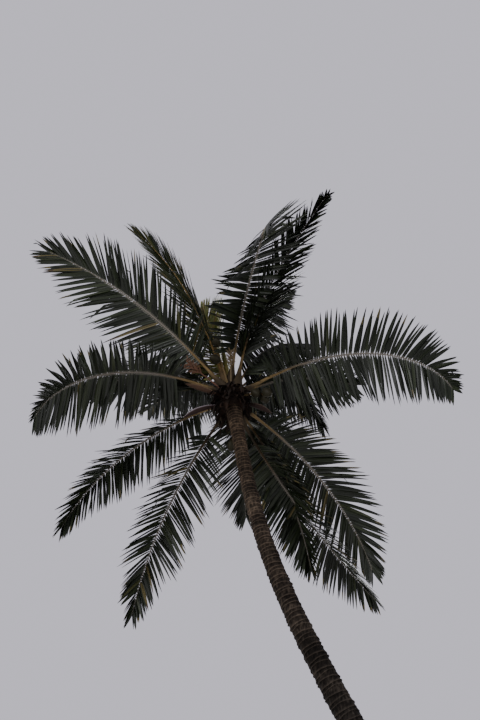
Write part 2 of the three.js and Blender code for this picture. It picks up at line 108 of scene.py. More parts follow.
def tint(code):
    """A colour written as six hexadecimal digits, as the linear light that a shader takes."""
    shares = [int(code[i:i + 2], 16) / 255 for i in (0, 2, 4)]
    return (*[c / 12.92 if c <= 0.04045 else ((c + 0.055) / 1.055) ** 2.4 for c in shares], 1)


class Wire:
    """A node's output in a finish. Sums and products of wires add their Math nodes."""

    def __init__(self, finish, socket):
        self.finish = finish
        self.socket = socket

    def math(self, operation, first, second):
        return self.finish.node("Math", {"operation": operation}, {0: first, 1: second})

    def __add__(self, other):
        return self.math("ADD", self, other)

    def __sub__(self, other):
        return self.math("SUBTRACT", self, other)

    def __rsub__(self, other):
        return self.math("SUBTRACT", other, self)

    def __mul__(self, other):
        return self.math("MULTIPLY", self, other)

    def __pow__(self, other):
        return self.math("POWER", self, other)

    __radd__ = __add__
    __rmul__ = __mul__


class Finish:
    """The finish of a surface: a material whose nodes are added one at a time."""

    def __init__(self, name, roughness, specular=0.5):
        self.material = bpy.data.materials.new(name)
        self.material.use_nodes = True
        self.nodes = self.material.node_tree.nodes
        self.surface = self.nodes["Principled BSDF"]
        self.surface.inputs["Roughness"].default_value = roughness
        self.surface.inputs["Specular IOR Level"].default_value = specular

    def feed(self, socket, value):
        """Sets a socket to a number or a colour, or links a wire to it."""
        if isinstance(value, Wire):
            self.material.node_tree.links.new(value.socket, socket)
        else:
            socket.default_value = value

    def node(self, kind, settings, sockets, output=0):
        """Adds a node: first its settings, then the values or wires of its sockets."""
        made = self.nodes.new("ShaderNode" + kind)
        for name, value in settings.items():
            if name == "stops":
                for place, (at, colour) in enumerate(value):
                    stops = made.color_ramp.elements
                    stop = stops[place] if place < len(stops) else stops.new(at)
                    stop.position = at
                    stop.color = colour
            else:
                setattr(made, name, value)
        for name, value in sockets.items():
            self.feed(made.inputs[name], value)
        return Wire(self, made.outputs[output])

    def place(self):
        return self.node("TexCoord", {}, {}, "Object")

    def measure(self, name):
        """A number that was stored on the mesh, point by point."""
        return self.node("Attribute", {"attribute_name": name}, {}, "Fac")

    def speckle(self, scale, detail=4, stretch=(1, 1, 1)):
        """Cloudy noise of about 0 to 1, finer by the scale and drawn out by the stretch."""
        spot = self.node("Mapping", {}, {"Vector": self.place(), "Scale": stretch})
        return self.node("TexNoise", {}, {"Vector": spot, "Scale": scale, "Detail": detail})

    def ramp(self, share, *stops):
        """A colour that runs through (place, colour) stops as the share grows."""
        stops = [(place, tint(code)) for place, code in stops]
        return self.node("ValToRGB", {"stops": stops}, {"Fac": share})

    def blend(self, share, first, second):
        """Two colours, mixed by a share. The node takes colours in its sockets 6 and 7."""
        return self.node("Mix", {"data_type": "RGBA"}, {0: share, 6: first, 7: second}, 2)

    def coat(self, colour=None, roughness=None, relief=None, height=0.002):
        """Joins the colour, the roughness and the relief to the surface."""
        if colour is not None:
            self.feed(self.surface.inputs["Base Color"], colour)
        if roughness is not None:
            self.feed(self.surface.inputs["Roughness"], roughness)
        if relief is not None:
            bump = self.node("Bump", {}, {"Height": relief, "Distance": height})
            self.feed(self.surface.inputs["Normal"], bump)
        return self


def trunk_middle(length):
    """The trunk's middle line: the point and the direction at a length along its curve."""
    parts = (np.arange(TRUNK_STEPS) + 0.5) / TRUNK_STEPS
    shares = np.append(parts, 1) * length / TRUNK_LENGTH
    turned = np.clip((shares - TURNS_FROM) / (TURNS_TO - TURNS_FROM), 0, 1)
    turned = turned * turned * (3 - 2 * turned)
    leans = np.radians(LEAN_AT_FOOT + (LEAN_AT_TIP - LEAN_AT_FOOT) * turned)
    ways = np.stack([-np.sin(leans), 0 * leans, np.cos(leans)], axis=1)
    return Vector(ways[:-1].sum(axis=0)) * (length / TRUNK_STEPS), Vector(ways[-1])


def roll_sheet(shape, columns, rows, place, measures=()):
    """Rolls a grid of faces into a closed skin. place gives the point of a column and a row,
    and any measures of it; a row whose points are all one closes an end."""
    layers = [
        shape.verts.layers.float.get(name) or shape.verts.layers.float.new(name)
        for name in measures
    ]
    made = bmesh.ops.create_grid(shape, x_segments=columns, y_segments=rows, size=0.5)
    corners = made["verts"]
    faces = {face for corner in corners for face in corner.link_faces}
    for corner in corners:
        column = round((corner.co.x + 0.5) * columns) % columns
        row = round((corner.co.y + 0.5) * rows)
        spot, *values = place(column, row)
        corner.co = spot
        for layer, value in zip(layers, values):
            corner[layer] = value
    for face in faces:
        face.smooth = True
    bmesh.ops.remove_doubles(shape, verts=corners, dist=1e-5)
    return [face for face in faces if face.is_valid]


def set_out(mesh, finishes):
    """A mesh as an object in the scene, with its finishes."""
    for finish in finishes:
        mesh.materials.append(finish.material)
    made = bpy.data.objects.new(mesh.name, mesh)
    bpy.context.scene.collection.objects.link(made)
    return made


def make_piece(name, shape, *finishes):
    """A finished shape as an object whose faces point outwards."""
    bmesh.ops.recalc_face_normals(shape, faces=shape.faces)
    mesh = bpy.data.meshes.new(name)
    shape.to_mesh(mesh)
    shape.free()
    return set_out(mesh, finishes)


def scar_at(index, angle):
    """The length along the trunk of one scar at an angle round it. The two ends lie level."""
    length = TRUNK_LENGTH * index / SCARS
    tilt = SCAR_TILT * min(1, length / FOOT_HEIGHT, (TRUNK_LENGTH - length) / FOOT_HEIGHT)
    return length + tilt * math.cos(angle - SCAR_TURN * index)


def trunk_skin():
    """Rows of points that follow each scar round the trunk, six to a scar."""
    steps = len(SCAR_PROFILE)
    last = SCARS * steps
    foot = Vector((0, 0, 0))
    tip, _ = trunk_middle(TRUNK_LENGTH)
    middles = {}

    def place(column, row):
        if row == 0:
            return foot, 0, 0
        if row == last + 2:
            return tip, 1, 1
        angle = 2 * math.pi * column / TRUNK_SIDES
        index, step = divmod(row - 1, steps)
        share, ledge = SCAR_PROFILE[step]
        length = scar_at(index, angle)
        if row <= last:
            length += share * (scar_at(index + 1, angle) - length)
        key = round(length, 3)
        if key not in middles:
            middles[key] = trunk_middle(key)
        point, direction = middles[key]
        square = min(1, length / FOOT_HEIGHT)
        axis = Vector((0, 0, 1)).lerp(direction, square).normalized()
        across = Vector((0, 1, 0)).cross(axis).normalized()
        over = axis.cross(across)
        round_way = across * math.cos(angle) + over * math.sin(angle)
        lobe = FOOT_LOBE_DEPTH * max(0, 1 - length / FOOT_HEIGHT)
        radius = along(TRUNK_RADII, length) * (1 + lobe * math.cos(FOOT_LOBES * angle))
        worn = noise.noise(round_way * WORN_PATCHES + Vector((0, 0, index * WORN_STEP)))
        worn = max(WORN_LEAST, WORN_USUAL + worn)
        rough = noise.noise(round_way * ROUGH_PATCHES + Vector((0, 0, length * ROUGH_CLIMB)))
        radius += along(SCAR_DEPTHS, length) * (ledge * worn + ROUGHNESS * rough - SCAR_SINK)
        spot = point + round_way * radius
        return Vector((spot.x, spot.y, max(spot.z, 0))), share, length / TRUNK_LENGTH

    shape = bmesh.new()
    roll_sheet(shape, TRUNK_SIDES, last + 2, place, ("scar", "climb"))
    return shape


def bark():
    """Scarred bark: dark between the scars, pale on their worn edges, browner near the tip."""
    finish = Finish("bark", roughness=0.95, specular=0.06)
    climb = finish.measure("climb")
    deep = finish.ramp(climb, *BARK_DEEP)
    pale = finish.ramp(climb, *BARK_PALE)
    edge = finish.ramp(finish.measure("scar"), *SCAR_EDGE)
    cloud = finish.speckle(scale=3, detail=5)
    fleck = finish.speckle(scale=34, detail=3, stretch=(1, 1, 0.35))
    split = finish.speckle(scale=24, detail=2, stretch=(1, 1, 0.12))
    skin = finish.blend((cloud + fleck) ** PALE_CONTRAST * PALE_SHARE, deep, pale)
    worn = finish.blend(edge * cloud * EDGE_SHARE, skin, pale)
    finish.coat(finish.blend((1 - split) ** SPLIT_CONTRAST * SPLIT_SHARE, worn, tint(BARK_SPLIT)))
    return finish.coat(relief=fleck * FLECK_RELIEF + split, height=0.007)


trunk = make_piece("trunk_bark", trunk_skin(), bark())
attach(trunk, "root")
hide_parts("trunk")

# HEART
# The bud that every leaf grows from, wrapped in the torn brown fibre cloth of the leaf bases. The
# cloth is woven by nature, in two layers of coarse threads that cross, and hangs on in flaps.
CROWN_HEIGHT = 0.35
HEART_RADII = (
    (0, 0.165), (0.09, 0.215), (0.23, 0.238), (0.43, 0.222), (0.6, 0.176), (0.74, 0.118), (0.8, 0.07),
)
HEART_SIDES = 72
HEART_ROWS = 96
HEART_WRAPS = 5
HEART_WRAP_DEPTH = 0.016
HEART_WRAP_SINK = 0.7
CLOTH_LUMPS = 9
CLOTH_CREASES = 24
CREASE_DEPTH = 0.5
# Brown fibre; the darkest of these colours are painted shade of the crown's core.
SHADED_CLOTH_COLOURS = (0.3, "0a0705"), (0.5, "170f0a"), (0.62, "2a1a11"), (0.78, "4f3019")
WARP_COLOUR = "4a331f"
WARP_SHARE = 0.25
WEFT_COLOUR = "0f0a07"
WEFT_SHARE = 0.5
FLAPS = 110
FLAP_ROOT = -0.02
FLAP_HEIGHTS = (0.04, 0.52)
FLAP_LENGTH = (0.14, 0.36)
FLAP_WIDTH = (0.05, 0.16)
FLAP_LIFT = (0.4, 1.9)
FLAP_CURL = 0.5
FLAP_TAPER = 0.6
FLAP_FALL = 1.6
FLAP_WAVES = 9
FLAP_WAVE_DEPTH = 0.3
FLAP_HOLLOW = 0.25
FLAP_THICKNESS = 0.003
FLAP_STEPS = 7

trunk_tip, heart_axis = trunk_middle(TRUNK_LENGTH)
crown = trunk_tip + heart_axis * CROWN_HEIGHT
heart_across = Vector((0, 1, 0)).cross(heart_axis).normalized()
heart_over = heart_axis.cross(heart_across)


def heart_point(angle, height, out=0.0):
    """A point on the heart's skin at an angle round it, or some way out of it."""
    round_way = heart_across * math.cos(angle) + heart_over * math.sin(angle)
    reach = along(HEART_RADII, height) + out
    return trunk_tip + heart_axis * height + round_way * reach


def heart_skin():
    """The wrapped bases show as ledges that climb round the heart in a spiral."""
    top = HEART_RADII[-1][0]

    def place(column, row):
        if row in (0, HEART_ROWS):
            return trunk_tip + heart_axis * (top if row else 0), 0
        angle = 2 * math.pi * column / HEART_SIDES
        height = top * (row - 1) / (HEART_ROWS - 2)
        turns = HEART_WRAPS * height / top + angle / (2 * math.pi)
        wrap = 1 - turns % 1
        spot = heart_point(angle, height)
        rough = noise.noise(spot * CLOTH_LUMPS) + CREASE_DEPTH * noise.noise(spot * CLOTH_CREASES)
        ledge = wrap - HEART_WRAP_SINK + HEART_WRAP_SINK * rough
        return heart_point(angle, height, HEART_WRAP_DEPTH * ledge), wrap

    shape = bmesh.new()
    roll_sheet(shape, HEART_SIDES, HEART_ROWS, place, ("wrap",))
    return shape


def fibre_cloth():
    """Coarse crossed threads, from nearly black, which is painted shade of the crown's core, to a
    dusty orange in patches.
    """
    finish = Finish("fibre_cloth", roughness=0.95, specular=0.2)
    lean = {"wave_type": "BANDS", "bands_direction": "DIAGONAL"}
    place = finish.place()
    mirrored = finish.node("Mapping", {}, {"Vector": place, "Scale": (-1, -1, 1)})
    warp = finish.node("TexWave", lean, {"Vector": place, "Scale": 60, "Distortion": 5})
    weft = finish.node("TexWave", lean, {"Vector": mirrored, "Scale": 60, "Distortion": 5})
    # Painted shade: this ramp runs the brown cloth down to nearly black.
    base = finish.ramp(finish.speckle(scale=5, detail=4), *SHADED_CLOTH_COLOURS)
    threads = finish.blend(warp * WARP_SHARE, base, tint(WARP_COLOUR))
    finish.coat(finish.blend(weft * WEFT_SHARE, threads, tint(WEFT_COLOUR)))
    return finish.coat(relief=warp + weft, height=0.004)


def sort_by(elements, place):
    """Sorts a shape's corners or faces by their place."""
    for index, element in enumerate(sorted(elements, key=place)):
        element.index = index
    elements.sort()


def flap_shape(dice):
    """Torn ends of the cloth: narrow curling tongues that hang down from under the leaf bases."""
    shape = bmesh.new()
    for index in range(FLAPS):
        angle = 2 * math.pi * (index + dice.random()) / FLAPS
        height = dice.uniform(*FLAP_HEIGHTS)
        length = dice.uniform(*FLAP_LENGTH)
        width = dice.uniform(*FLAP_WIDTH)
        start = heart_point(angle, height, FLAP_ROOT)
        out = (start - trunk_tip - heart_axis * height).normalized()
        sideways = heart_axis.cross(out)
        curl = width * dice.uniform(-FLAP_CURL, FLAP_CURL)
        lift = dice.uniform(*FLAP_LIFT)
        made = bmesh.ops.create_grid(shape, x_segments=2, y_segments=FLAP_STEPS, size=0.5)
        for corner in made["verts"]:
            share = corner.co.y + 0.5
            wave = 1 + FLAP_WAVE_DEPTH * math.sin(FLAP_WAVES * share + index)
            taper = width * (1 - share) ** FLAP_TAPER * wave
            rise = lift * share * (1 - share / 2)
            fall = out * rise - Vector((0, 0, 1)) * share ** FLAP_FALL
            spot = start + fall * length + sideways * (corner.co.x * taper + curl * share ** 2)
            corner.co = spot + out * (FLAP_HOLLOW * taper * abs(corner.co.x))
    geometry = shape.faces[:] + shape.edges[:] + shape.verts[:]
    bmesh.ops.solidify(shape, geom=geometry, thickness=FLAP_THICKNESS)
    # solidify lists what it adds in another order each run, so all of it is sorted by place.
    sort_by(shape.verts, lambda corner: corner.co[:])
    sort_by(shape.faces, lambda face: face.calc_center_median()[:])
    return shape


cloth = fibre_cloth()
heart = make_piece("heart_cloth", heart_skin(), cloth)
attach(heart, "root")
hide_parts("crown_heart")

flaps = make_piece("cloth_flaps", flap_shape(random.Random(4)), cloth)
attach(flaps, "root")

# RIBS
# The long woody spine of each leaf, channelled above where its bare stem clasps the heart, and
# angled and thin towards its tip. Old ones arch over and hang; the young stand up in the middle.
FROND_BEND = 1.4
FROND_STEPS = 48
ROLL_AT_FOOT = 0.3
BARE_STEM = 0.18
RIB_WIDTHS = (
    (0, 0.22), (0.04, 0.2), (0.07, 0.14), (0.1, 0.08), (0.14, 0.056), (0.24, 0.046), (0.6, 0.026),
    (1, 0.008),
)
RIB_DEPTHS = ((0, 0.07), (0.04, 0.06), (0.1, 0.046), (0.24, 0.038), (0.6, 0.026), (1, 0.01))
YOUNG_RIB = 0.72
STEM_STARTS = ((0, 0.04), (60, 0.06), (90, 0.115))
RIB_SECTION = (
    (1, 0.75), (0.72, 1), (0.25, 0.8), (-0.25, 0.8), (-0.72, 1), (-1, 0.75),
    (-0.9, -0.15), (-0.5, -0.85), (0, -1), (0.5, -0.85), (0.9, -0.15),
)
RIB_ROWS = 60
# Painted shade on the bare part of a rib: full where it rises 0 degrees or less, none from 7 degrees
# up.
STEM_SHADE_RISES = (0, 7)
RIB_ROW_SPREAD = 1.2
RIB_PLACES = (0, 0.08, 0.13, 0.22, 0.36)
# The first of each three colours is the rib's foot: dry wood, deepened to near black as painted shade
# of the crown's core.
RIB_COLOURS = "110c08", "6a5838", "6f6b66"
GOLDEN_COLOURS = "2c2315", "7d6238", "75623a"
YOUNG_COLOURS = "2e2416", "7d6c40", "6d6338"
BARE_PART = (0.2, "ffffff"), (0.4, "000000")
STREAK_SHARE = 0.4
CLOUD_SHARE = 0.25

# bearing is counted from +X towards +Y; rise and tip are the rib's angles over the horizon at its
# two ends; sweep turns the bearing by the tip; roll turns the blade on its rib; hang lowers the
# leaflets under the blade's plane; height is the stem's place on the heart, from the crown's centre,
# and out its distance from the heart's axis; size scales the leaflets and spread their angle to the
# rib; bare is the share of the rib before them. A golden leaf has begun to turn with age.
FRONDS = (
    dict(bearing=211, rise=42, tip=12, length=4.70, sweep=-11, height=0.08,
         roll=42, hang=20, size=1.06, spread=0.78),
    dict(bearing=213, rise=73, tip=48, length=5.30, sweep=-24, height=0.17,
         roll=60, hang=68, size=0.9, spread=0.6, golden=True),
    dict(bearing=112, rise=81, tip=62, length=3.90, height=0.3,
         roll=60, hang=20, size=0.62, young=True),
    dict(bearing=289, rise=78, tip=-64, length=4.25, sweep=-11, height=0.3,
         roll=62, hang=13, size=1.25, spread=1.18),
    dict(bearing=315, rise=86, tip=-33, length=5.10, sweep=-24, height=0.07, out=0.19,
         roll=-26, hang=60, size=0.95, spread=0.72),
    dict(bearing=349, rise=36, tip=-80, length=4.85, sweep=-8, height=-0.02,
         roll=-46, hang=16, size=0.96, spread=1.06),
    dict(bearing=12, rise=76, tip=22, length=3.40, sweep=34, height=0.14, hang=50),
    dict(bearing=42, rise=70, tip=-36, length=3.90, sweep=12, height=0.04,
         hang=53, size=0.85, spread=0.8),
    dict(bearing=47, rise=7, tip=-74, length=4.65, sweep=-6, height=-0.1,
         roll=-19, hang=-4, size=0.93, spread=0.75),
    dict(bearing=60, rise=3, tip=-75, length=3.85, sweep=3, height=-0.19,
         roll=-4, hang=52, size=0.94),
    dict(bearing=63, rise=-11, tip=-34, length=5.00, sweep=-27, height=-0.28, hang=40, size=0.9),
    dict(bearing=86, rise=30, tip=-25, length=4.30, height=-0.08, hang=30),
    dict(bearing=120, rise=0, tip=-75, length=4.90, height=-0.19, roll=13, hang=46, size=0.96),
    dict(bearing=145, rise=15, tip=-70, length=4.50, sweep=10, height=-0.11,
         roll=32, hang=57, size=0.93),
    dict(bearing=191, rise=24, tip=-82, length=4.20, height=0.01,
         bare=0.26, roll=14, hang=17, spread=1.07),
    dict(bearing=158, rise=58, tip=-22, length=3.70, sweep=8, height=-0.05, hang=28),
    dict(bearing=66, rise=38, tip=-46, length=3.90, height=-0.03, hang=30),
    dict(bearing=168, rise=84, tip=70, length=2.90, height=0.33,
         bare=0.12, roll=115, hang=50, size=0.8, young=True),
    dict(bearing=104, rise=65, tip=12, length=4.00, height=0.12, hang=25),
    dict(bearing=130, rise=58, tip=5, length=3.80, height=0.04, hang=28),
    dict(bearing=183, rise=65, tip=42, length=3.70, height=0.05, hang=28, size=0.85),
    dict(bearing=77, rise=56, tip=-22, length=4.40, height=0.08, hang=28),
    dict(bearing=352, rise=80, tip=52, length=3.40, height=0.315, hang=20, size=0.75),
    dict(bearing=18, rise=50, tip=-15, length=2.90, sweep=-10, height=0,
         roll=-20, hang=30, size=0.95),
)
Place = namedtuple("Place", "share spot ahead side top")


def heading(bearing, rise):
    """The direction at a bearing and an angle over the horizon."""
    a = math.radians(bearing)
    e = math.radians(rise)
    return Vector((math.cos(e) * math.cos(a), math.cos(e) * math.sin(a), math.sin(e)))


def stem_path(bearing, rise, tip, length, height, sweep=0, roll=0, out=None, **other):
    """Steps along an arched stem: places, directions, the level side of each and its upper side."""
    path = []
    reach = along(STEM_STARTS, abs(rise)) if out is None else out
    spot = crown + heart_axis * height + heading(bearing, 0) * reach
    for i in range(FROND_STEPS + 1):
        share = i / FROND_STEPS
        bend = share ** FROND_BEND
        turned = bearing + sweep * bend
        ahead = heading(turned, rise + (tip - rise) * bend)
        level = heading(turned + 90, 0)
        upper = ahead.cross(level)
        turn = math.radians(roll * (ROLL_AT_FOOT + (1 - ROLL_AT_FOOT) * share))
        side = level * math.cos(turn) + upper * math.sin(turn)
        top = upper * math.cos(turn) - level * math.sin(turn)
        path.append(Place(share, spot.copy(), ahead, side, top))
        middle = ((i + 0.5) / FROND_STEPS) ** FROND_BEND
        step = heading(bearing + sweep * middle, rise + (tip - rise) * middle)
        spot = spot + step * (length / FROND_STEPS)
    return path


def on_path(path, share):
    """The place at a share of a stem's length."""
    x = min(share, 1) * FROND_STEPS
    i = min(int(x), FROND_STEPS - 1)
    a, b = path[i], path[i + 1]
    mixed = [a[key].lerp(b[key], x - i) for key in range(1, 5)]
    return Place(share, mixed[0], *[way.normalized() for way in mixed[1:]])


def lay_rib(shape, frond, path):
    """One rib, from inside the heart to its tip, closed at both ends."""
    stout = YOUNG_RIB if frond.get("young") else 1
    # The shade measure is painted shade, strongest on the ribs that rise least.
    shade = float(np.interp(frond["rise"], STEM_SHADE_RISES, (1, 0)))
    golden = int(frond.get("golden", False))
    sides = len(RIB_SECTION)
    places = [on_path(path, (row / RIB_ROWS) ** RIB_ROW_SPREAD) for row in range(RIB_ROWS + 1)]

    def place(column, row):
        at = places[min(max(row - 1, 0), RIB_ROWS)]
        if row in (0, RIB_ROWS + 2):
            return at.spot, at.share, shade
        across, up = RIB_SECTION[column]
        half = stout * along(RIB_WIDTHS, at.share) / 2
        deep = stout * along(RIB_DEPTHS, at.share) / 2
        return at.spot + at.side * (across * half) + at.top * (up * deep), at.share, shade

    for face in roll_sheet(shape, sides, RIB_ROWS + 2, place, ("share", "shade")):
        face.material_index = golden


def rib_skin(name, base, stem, spine):
    """A waxy stem: dark at its foot, tan along the bare part, paler and grey outwards.
    On the frond ribs the dark foot is dry wood deepened with painted shade of the crown's core.
    Painted shade, by the shade measure, darkens all the bare part of the ribs that rise least."""
    finish = Finish(name, roughness=0.75, specular=0.2)
    stops = zip(RIB_PLACES, (base, base, stem, stem, spine))
    colour = finish.ramp(finish.measure("share"), *stops)
    bare = finish.ramp(finish.measure("share"), *BARE_PART)
    # Painted shade: the bare part of the lowest ribs takes the dark foot colour.
    colour = finish.blend(bare * finish.measure("shade"), colour, tint(base))
    streak = finish.speckle(scale=30, detail=3, stretch=(1, 1, 0.3))
    cloud = finish.speckle(scale=3, detail=3)
    worn = finish.blend(streak * STREAK_SHARE, colour, tint(base))
    finish.coat(finish.blend(cloud * CLOUD_SHARE, worn, tint(stem)))
    return finish.coat(relief=streak, height=0.002)


paths = [stem_path(**frond) for frond in FRONDS]
old_ribs = bmesh.new()
young_ribs = bmesh.new()
for frond, path in zip(FRONDS, paths):
    lay_rib(young_ribs if frond.get("young") else old_ribs, frond, path)

solid_limbs = BVHTree.FromBMesh(old_ribs)
frond_names = [f"frond_{index + 1:02d}" for index in range(len(FRONDS))]
old_names = [name for name, frond in zip(frond_names, FRONDS) if not frond.get("young")]
young_names = [name for name, frond in zip(frond_names, FRONDS) if frond.get("young")]

rib_finishes = rib_skin("rib", *RIB_COLOURS), rib_skin("golden_rib", *GOLDEN_COLOURS)
ribs = make_piece("frond_ribs", old_ribs, *rib_finishes)
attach(ribs, "root")
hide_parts(*old_names)

fresh_ribs = make_piece("young_ribs", young_ribs, rib_skin("young_rib", *YOUNG_COLOURS))
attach(fresh_ribs, "root")
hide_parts(*young_names)

# LEAFLETS
# Some eighty narrow blades on each side of a rib, folded like a roof along their own midribs.
# They droop with their weight, and the wind has gathered them in small bunches, with gaps.
LEAFLETS_A_SIDE = 84
LEAFLET_LENGTH = 1.06
LEAFLET_LENGTHS = ((0, 0.55), (0.12, 0.8), (0.3, 1), (0.6, 0.95), (0.85, 0.65), (1, 0.35))
LEAFLET_ANGLES = ((0, 100), (0.2, 80), (0.6, 64), (1, 22))
LEAFLET_DROOP = 0.2
LEAFLET_WIDTH = 0.058
LEAFLET_OUTLINE = (
    (0, 0.55), (0.03, 0.65), (0.12, 0.9), (0.3, 1), (0.52, 0.94), (0.75, 0.66), (0.92, 0.3),
)
LEAFLET_FOLD = 0.26
LEAFLET_THICKNESS = ((0, 0.005), (1, 0.0015))
LEAFLET_ROOT = 0.4
ROOT_CLEAR = 0.35
SHORTEST = 0.3
HIT_SHARE = 0.9
CLEARANCE = 0.04

# How leaflets differ: in twos to fours, by angle in degrees, and by a twist in radians.
GATHERED = (2, 2, 3, 3, 4)
GATHER_ANGLE = 2.1
SPREAD_VARIES = 1.5
HANG_VARIES = 4
LENGTH_VARIES = 0.05
LONGEST = 1.06
PLACE_VARIES = 0.2
BUNCH_TWIST = 0.2
LEAF_TWIST = 0.12
SWAY = 13
SWAYS = 9
SWAY_APART = 5
DROOP_VARIES = (0.75, 1.3)
DROOP_FROM = 0.12
KINKED = 0.04
KINK_PLACES = (0.35, 0.8)
KINK_FALL = 1.4
NO_KINK = 2

# The colours are dealt out leaf by leaf: paler with age, with dry tips, and a few dried through.
GREENS = ("13180e", "192010", "212814", "2b311a", "3b3c20")
TIPS = ("4f4729", "3d2f1e")
HEEL = ("4b4941",)
FRESH = ("565d29", "70733a", "8d8a4c", "74643a")
OLD_RISE = 60
GOLDEN_AGE = 4
GREEN_START = 0.3
GREEN_BY_AGE = 0.6
GREEN_VARIES = 1.1
DRY_TIPS = 0.05
DRIED_THROUGH = 0.008
HIGH_RISE = 40


def leaf_finish(code):
    """A waxy leaf: one plain colour, glossy enough to shine where it faces the light."""
    finish = Finish("leaf_" + code, roughness=0.48, specular=0.35)
    return finish.coat(tint(code))


class Foliage:
    """Leaflets gathered into arrays, to be joined as one mesh."""

    def __init__(self):
        self.corners = []
        self.faces = []
        self.finishes = []

    def blade(self, lines, tip, heel, finish, tip_finish):
        """A closed blade through four-cornered sections, which ends in a point. The two steps
        before the point have the tip's finish."""
        first = len(self.corners)
        for line in lines:
            self.corners.extend(line)
        self.corners.append(tip)
        count = len(lines)
        self.faces.append([first, first + 1, first + 2, first + 3])
        self.finishes.append(heel)
        finishes = [heel] + [finish] * (count - 3) + [tip_finish] * 2
        for i in range(count):
            a = first + 4 * i
            b = a + 4
            for k in range(4):
                j = (k + 1) % 4
                if i + 1 < count:
                    self.faces.append([a + k, b + k, b + j, a + j])
                else:
                    self.faces.append([a + k, first + 4 * count, a + j])
                self.finishes.append(finishes[i])

    def piece(self, name, finishes):
        mesh = bpy.data.meshes.new(name)
        mesh.from_pydata(self.corners, [], self.faces)
        made = set_out(mesh, finishes)
        mesh.polygons.foreach_set("material_index", self.finishes)
        mesh.update()
        return made


def clear_share(foot, steps):
    """How much of a leaflet's line is free before it would run into a rib. The line starts a
    little way out, clear of the leaflet's own rib."""
    spot = foot + steps[0] * ROOT_CLEAR
    free = ROOT_CLEAR / len(steps)
    for number, step in enumerate(steps):
        start = step * ROOT_CLEAR if number == 0 else Vector((0, 0, 0))
        reach = (step - start).length
        hit, _, _, distance = solid_limbs.ray_cast(spot, step, reach)
        if hit is not None:
            return max(SHORTEST, free + HIT_SHARE * distance / reach / len(steps) - CLEARANCE)
        spot = spot + step - start
        free = (number + 1) / len(steps)
    return 1


def lay_leaflet(foliage, frond, at, hand, share, twist, dice, gathered, *finishes):
    """One leaflet, from the side of its rib to its drooping tip."""
    angle = along(LEAFLET_ANGLES, share) * frond.get("spread", 1)
    angle = math.radians(angle + gathered + dice.gauss(0, SPREAD_VARIES))
    hang = math.radians(frond["hang"] + dice.gauss(0, HANG_VARIES))
    length = LEAFLET_LENGTH * frond.get("size", 1) * along(LEAFLET_LENGTHS, share)
    length *= min(LONGEST, 1 + dice.gauss(0, LENGTH_VARIES))
    ahead = at.ahead * math.cos(angle)
    ahead += at.side * (math.sin(angle) * math.cos(hang) * hand)
    ahead -= at.top * (math.sin(angle) * math.sin(hang))
    foot = at.spot + at.side * (hand * along(RIB_WIDTHS, at.share) * LEAFLET_ROOT)
    droop = LEAFLET_DROOP * dice.uniform(*DROOP_VARIES)
    kink = dice.uniform(*KINK_PLACES) if dice.random() < KINKED else NO_KINK
    count = len(LEAFLET_OUTLINE)
    stops = [place for place, _ in LEAFLET_OUTLINE] + [1]
    steps = []
    for i in range(count):
        middle = (stops[i] + stops[i + 1]) / 2
        fall = max(0, droop * (middle - DROOP_FROM)) + (KINK_FALL if middle > kink else 0)
        step = (ahead - Vector((0, 0, fall))).normalized()
        steps.append(step * (length * (stops[i + 1] - stops[i])))
    kept = clear_share(foot, steps)
    lines = []
    spot = foot
    for (place, width), step in zip(LEAFLET_OUTLINE, steps):
        way = step.normalized()
        across = (at.ahead - way * at.ahead.dot(way)).normalized()
        up = way.cross(across)
        if up.dot(at.top) < 0:
            across = -across
            up = -up
        across = across * math.cos(twist) + up * math.sin(twist)
        up = way.cross(across)
        half = LEAFLET_WIDTH * frond.get("size", 1) ** 0.5 * width / 2
        ridge = spot + up * (2 * half * LEAFLET_FOLD)
        thick = along(LEAFLET_THICKNESS, place)
        lines.append((spot - across * half, ridge, spot + across * half, ridge - up * thick))
        spot = spot + step * kept
    foliage.blade(lines, spot, *finishes)


def deal(dice, fresh, age):
    """The finishes of one leaflet's heel, blade and tip, with dry tips on the older leaves."""
    if fresh:
        finish = dice.choice(range(len(FRESH)))
        return finish, finish, finish
    paleness = dice.gauss(GREEN_START + GREEN_BY_AGE * age, GREEN_VARIES)
    finish = min(len(GREENS) - 1, int(abs(paleness)))
    heel = len(GREENS + TIPS)
    dry = dice.random()
    if dry < DRY_TIPS + DRY_TIPS * age:
        return heel, finish, len(GREENS)
    if dry > 1 - DRIED_THROUGH:
        return heel, len(GREENS), len(GREENS) + 1
    return heel, finish, finish


def grow_leaflets(foliage, frond, path, dice):
    """All the leaflets of a frond, side by side, bunch by bunch."""
    fresh = bool(frond.get("young"))
    age = GOLDEN_AGE if frond.get("golden") else (OLD_RISE - frond["rise"]) / OLD_RISE
    bare = frond.get("bare", BARE_STEM)
    for hand in (1, -1):
        k = 0
        while k < LEAFLETS_A_SIDE:
            bunch = dice.choice(GATHERED)
            twist = dice.gauss(0, BUNCH_TWIST)
            wave = Vector((SWAYS * k / LEAFLETS_A_SIDE, SWAY_APART * hand, frond["bearing"]))
            sway = SWAY * noise.noise(wave)
            for member in range(bunch):
                place = (k + 0.5 + dice.uniform(-PLACE_VARIES, PLACE_VARIES)) / LEAFLETS_A_SIDE
                gathered = sway + GATHER_ANGLE * (member - (bunch - 1) / 2)
                if place < 1:
                    at = on_path(path, bare + place * (1 - bare))
                    finishes = deal(dice, fresh, age)
                    turn = twist + dice.gauss(0, LEAF_TWIST)
                    lay_leaflet(foliage, frond, at, hand, place, turn, dice, gathered, *finishes)
                k += 1


grown = []
for index, (frond, path) in enumerate(zip(FRONDS, paths)):
    foliage = Foliage()
    grow_leaflets(foliage, frond, path, random.Random(100 + index))
    grown.append(foliage)


def joined(foliages):
    """Several fronds' leaflets as one."""
    whole = Foliage()
    for foliage in foliages:
        start = len(whole.corners)
        whole.corners += foliage.corners
        whole.faces += [[start + i for i in face] for face in foliage.faces]
        whole.finishes += foliage.finishes
    return whole


